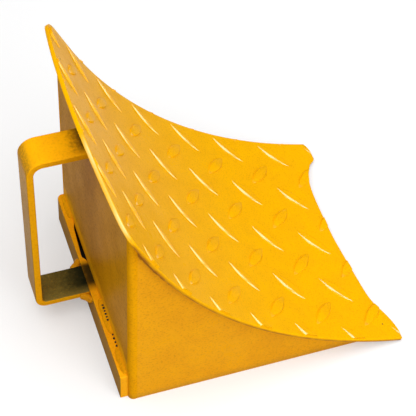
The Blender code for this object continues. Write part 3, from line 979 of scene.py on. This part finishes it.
def build_corner_bead(name, side):
    """Weld along the rear corner, ground smooth and lapping a little over both panels."""
    radius = PANEL_THICKNESS
    turns = 10
    profile = [(REAR_X + radius + CORNER_BEAD_LAP, BODY_HALF, -FUSE, 0.0, 1.0)]
    for step in range(turns + 1):
        angle = math.pi / 2 * step / turns
        lean = (math.sin(angle), math.cos(angle))
        profile.append((REAR_X + radius, BODY_HALF - radius, CORNER_BEAD_PROUD, *lean))
    profile.append((REAR_X, BODY_HALF - radius - CORNER_BEAD_LAP, -FUSE, 1.0, 0.0))

    def place(row, column, face):
        x, y, out, lean_x, lean_y = profile[round(column * (len(profile) - 1))]
        reach = (0.0 if out < 0 else radius) + out - CORNER_BEAD_DEPTH * face
        x -= lean_x * reach
        y += lean_y * reach
        return x, side * y, row * (underside_z(x) + FUSE)
    mesh = sheet_mesh("corner_bead_" + name, even(60), even(len(profile) - 1), place)
    bead = add_piece(mesh.name, mesh, SEAM_ENAMEL)
    bead.data.shade_smooth()
    bead.data.set_sharp_from_angle(angle=SHARP_ANGLE)
    dress(bead, "weld_paint", "corner_weld_" + name)


def build_rib():
    def place(row, column, face):
        x = rib_low.x + column * (rib_high.x - rib_low.x)
        y = rib_low.y + face * (rib_high.y - rib_low.y)
        return x, y, rib_low.z + row * (underside_z(x) + FUSE - rib_low.z)
    build_sheet("upright_rib", "center_rib", eased(10), eased(40), place, INNER_ENAMEL)


def slit_opening(y):
    """How far the bar stands off the rear panel at the place y: a wedge that opens towards the handle."""
    into = min(y - SLIT_NEAR_Y, SLIT_FAR_Y - y)
    ends = min(max(into / SLIT_END_TAPER, 0.0), 1.0)
    wedge = SLIT_TIP + (1 - SLIT_TIP) * (SLIT_FAR_Y - y) / (SLIT_FAR_Y - SLIT_NEAR_Y)
    return SLIT_WIDTH * wedge * ends


def build_ground_bar():
    def place(row, column, face):
        y = bar_low.y + column * (bar_high.y - bar_low.y)
        back = bar_low.x + round_corner(y - (bar_high.y - BAR_FAR_CORNER), BAR_FAR_CORNER)
        front = REAR_X + FUSE - slit_opening(y)
        return (back if face else front), y, row * bar_high.z
    build_sheet("flat_ground_bar", "ground_bar", eased(8), eased(90), place, BRIGHTENED_BAR_ENAMEL,
                BAR_EDGE_ROUNDING, "bar_paint")


def strap_path():
    """Middle line of the strap from the rear panel to the bar, as (point, outward) pairs in the XZ plane."""
    half = STRAP_THICKNESS / 2
    grip_x = handle_low.x + half
    top = handle_high.z - half
    bottom = handle_low.z + half
    path = [((REAR_X + FUSE, top), (0.0, 1.0))]

    def straight(end, outward, steps):
        x, z = path[-1][0]
        for step in range(1, steps + 1):
            share = step / steps
            path.append(((x + share * (end[0] - x), z + share * (end[1] - z)), outward))

    def bend(center, radius, start, steps):
        for step in range(1, steps + 1):
            angle = start + math.pi / 2 * step / steps
            lean = (math.cos(angle), math.sin(angle))
            path.append(((center[0] + radius * lean[0], center[1] + radius * lean[1]), lean))

    upper = HANDLE_UPPER_BEND + half
    lower = HANDLE_LOWER_BEND + half
    straight((grip_x + upper, top), (0.0, 1.0), 6)
    bend((grip_x + upper, top - upper), upper, math.pi / 2, 14)
    straight((grip_x, bottom + lower), (-1.0, 0.0), 12)
    bend((grip_x + lower, bottom + lower), lower, math.pi, 12)
    straight((bar_low.x + FUSE, bottom), (0.0, -1.0), 6)
    return path


def build_handle():
    path = strap_path()

    def place(row, column, face):
        (x, z), (out_x, out_z) = path[round(row * (len(path) - 1))]
        off = STRAP_THICKNESS * (0.5 - face)
        return x + out_x * off, handle_low.y + column * (handle_high.y - handle_low.y), z + out_z * off
    build_sheet("strap_handle", "handle", even(len(path) - 1), eased(8), place, HANDLE_ENAMEL,
                STRAP_EDGE_ROUNDING, "handle_paint")


def add_run(name, points):
    """Bare line through some points, for a tree to grow on."""
    mesh = bpy.data.meshes.new(name)
    mesh.from_pydata(points, [(i, i + 1) for i in range(len(points) - 1)], [])
    return add_piece(name, mesh)


def build_bead(node, run, size=BEAD_SIZE, paint=WELD_ENAMEL, unevenness=BEAD_UNEVENNESS):
    """Rippled weld bead along a run of points, with a seed of its own from its name."""
    bead = add_run(node + "_bead", run)
    seed = float(sum(ord(letter) for letter in bead.name) % 97)
    grow(bead, BEAD_TREE, {"Bead Size": size, "Seed": seed, "Unevenness": unevenness, "Paint": paint})
    dress(bead, "weld_paint", node)


def build_plate_stitches(kind, y):
    """Stitches under the tread plate, each along the run of its own CAD bead."""
    for stitch in (1, 2, 3):
        node = f"{kind}_{stitch}"
        low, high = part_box(node)
        first, last = high.x - BEAD_SIZE / 2, low.x + BEAD_SIZE / 2
        places = [first + (last - first) * share for share in even(STITCH_STEPS)]
        build_bead(node, [(x, y, underside_z(x) - STITCH_DROP) for x in places], paint=INNER_ENAMEL)


def build_inner_beads():
    for name, side in SIDES:
        build_plate_stitches("tread_weld_" + name, side * PANEL_INNER_Y)
        build_plate_stitches("rib_tread_weld_" + name, side * rib_high.y)
        node = "rib_rear_weld_" + name
        low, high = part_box(node)
        x, y = REAR_X + PANEL_THICKNESS, side * rib_high.y
        build_bead(node, [(x, y, low.z), (x, y, high.z)], paint=INNER_ENAMEL)


def level_run(node, z):
    """Run along the rear panel's outer face, as long as its CAD bead."""
    low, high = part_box(node)
    return [(REAR_X, low.y, z), (REAR_X, high.y, z)]


def build_outer_beads():
    for name in ("left", "right"):
        node = "rear_seam_weld_" + name
        build_bead(node, level_run(node, underside_z(REAR_X)), REAR_SEAM_BEAD_SIZE)
    for name, size, unevenness in BAR_BEADS:
        node = "bar_weld_" + name
        build_bead(node, level_run(node, bar_high.z - BAR_BEAD_SINK), size, SEAM_ENAMEL, unevenness)
    for name, z in (("top", handle_high.z), ("bottom", handle_high.z - STRAP_THICKNESS)):
        node = "handle_upper_weld_" + name
        build_bead(node, level_run(node, z), UPPER_HANDLE_BEAD_SIZE)
    x, z = bar_low.x, (handle_low.z + bar_high.z) / 2
    for (name, side), y in zip(SIDES, (handle_high.y, handle_low.y)):
        run = []
        for back, out in ((1, 0), LOWER_HANDLE_BOW, (0, 1)):
            run.append((x - LOWER_HANDLE_FLARE * back, y + side * LOWER_HANDLE_FLARE * out, z))
        build_bead("handle_lower_weld_" + name, run, LOWER_HANDLE_BEAD_SIZE)


def pinhole_tree():
    """Small dark drops of uneven size along a seam."""
    net, given, made = new_tree("Pinholes", "Geometry", {
        "Seam": "Geometry", "Spacing": 0.0026, "Pinhole Size": 0.0006, "Seed": 5,
        "Rust": "Material",
    }, {"Pinholes": "Geometry"})
    points = stepped_curve(net, given["Seam"], given["Spacing"])
    drop = net.add("GeometryNodeMeshUVSphere", {"Segments": 10, "Rings": 6, "Radius": given["Pinhole Size"]})
    least, most = PINHOLE_SPREAD
    sizes = {2: least, 3: most, "Seed": given["Seed"]}
    scatter = net.add("FunctionNodeRandomValue", sizes, data_type="FLOAT")
    holes = net.add("GeometryNodeInstanceOnPoints", {
        "Points": points, "Instance": drop, "Scale": scatter.outputs[1]})
    return hand_over(net, holes, given["Rust"], made["Pinholes"])


def build_pinholes():
    """Pinholes left open in the seam of the ground bar: a close row by the handle, then a sparse one."""
    tree = pinhole_tree()
    for name, start, end, out, up, spacing, size in PINHOLE_ROWS:
        x, z = REAR_X - out, bar_high.z + up
        holes = add_run(name, [(x, start, z), (x, end, z)])
        grow(holes, tree, {"Spacing": spacing, "Pinhole Size": size, "Rust": PINHOLE_SHADE_AND_RUST})
        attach(holes, "root")


# Stage

def build_floor():
    material, net, shader = new_material("pale_floor")
    shader["Roughness"].default_value = 0.9
    shader["Specular IOR Level"].default_value = 0.0
    shader["Emission Strength"].default_value = 1.0
    pale = net.mix(net.noise(scale=3.0, detail=2.0), FLOOR_PALE, FLOOR_PALER)
    rays = net.add("ShaderNodeLightPath").outputs
    mirrored = net.plus(rays["Is Glossy Ray"], rays["Is Transmission Ray"])
    seen = net.math("MINIMUM", net.plus(rays["Is Camera Ray"], mirrored), 1.0)
    net.feed(shader["Base Color"], net.mix(seen, FLOOR_BOUNCE, pale))
    net.feed(shader["Emission Color"], net.mix(seen, NO_GLOW, FLOOR_GLOW))
    mesh = bpy.data.meshes.new("floor")
    form = bmesh.new()
    bmesh.ops.create_grid(form, x_segments=2, y_segments=2, size=FLOOR_REACH)
    form.to_mesh(mesh)
    form.free()
    floor = add_piece("floor", mesh, material)


def softbox(name, direction, lengthwise, length, width, power):
    """Oblong soft light that looks at the middle of the chock, its long side along the given direction."""
    lamp = bpy.data.lights.new(name, "AREA")
    lamp.shape = "RECTANGLE"
    lamp.size = length
    lamp.size_y = width
    lamp.energy = power
    toward = Vector(direction).normalized()
    across = toward.cross(Vector(lengthwise)).normalized()
    along = across.cross(toward)
    turn = Matrix((along, across, toward)).transposed().to_4x4()
    light = bpy.data.objects.new(name, lamp)
    light.matrix_world = Matrix.Translation(Vector(LIGHT_AIM) + toward * LIGHT_DISTANCE) @ turn
    bpy.context.scene.collection.objects.link(light)


def build_lights():
    softbox("overhead_softbox", (-0.10, -0.20, 0.97), (1.0, 0.0, 0.10), length=2.1, width=1.7, power=34.0)
    softbox("near_side_softbox", (0.30, -0.90, 0.35), (0.0, 0.0, 1.0), length=1.0, width=1.0, power=12.0)
    world = bpy.data.worlds.new("studio")
    world.use_nodes = True
    net = NodeNet(world.node_tree)
    background = world.node_tree.nodes["Background"]
    toward = net.add("ShaderNodeTexCoord").outputs["Generated"]
    overhead = net.ramp(net.parts(toward)["Z"], -0.05, 0.9)
    net.feed(background.inputs["Color"], net.mix(overhead, WALL_LIGHT, CEILING_LIGHT))
    background.inputs["Strength"].default_value = 1.0
    bpy.context.scene.world = world


def build_camera():
    camera = bpy.data.cameras.new("camera")
    camera.lens = CAMERA_LENS
    camera.sensor_width = SENSOR_WIDTH
    viewer = bpy.data.objects.new("camera", camera)
    level = math.cos(CAMERA_ELEVATION)
    back = Vector((
        math.sin(CAMERA_AZIMUTH) * level, -math.cos(CAMERA_AZIMUTH) * level, math.sin(CAMERA_ELEVATION)))
    upright = back.to_track_quat("Z", "Y").to_matrix().to_4x4()
    roll = Matrix.Rotation(CAMERA_ROLL, 4, "Z")
    viewer.matrix_world = Matrix.Translation(Vector(CAMERA_AIM) + back * CAMERA_DISTANCE) @ upright @ roll
    bpy.context.scene.collection.objects.link(viewer)
    bpy.context.scene.camera = viewer


BEAD_TREE = weld_bead_tree()
build_tread_plate()
for side_name, side_sign in SIDES:
    build_cheek(side_name, side_sign)
build_rear_panel()
for side_name, side_sign in SIDES:
    build_corner_bead(side_name, side_sign)
build_rib()
build_ground_bar()
build_handle()
build_inner_beads()
build_outer_beads()
build_pinholes()
build_floor()
build_lights()
build_camera()
bpy.context.scene.view_settings.view_transform = "Standard"
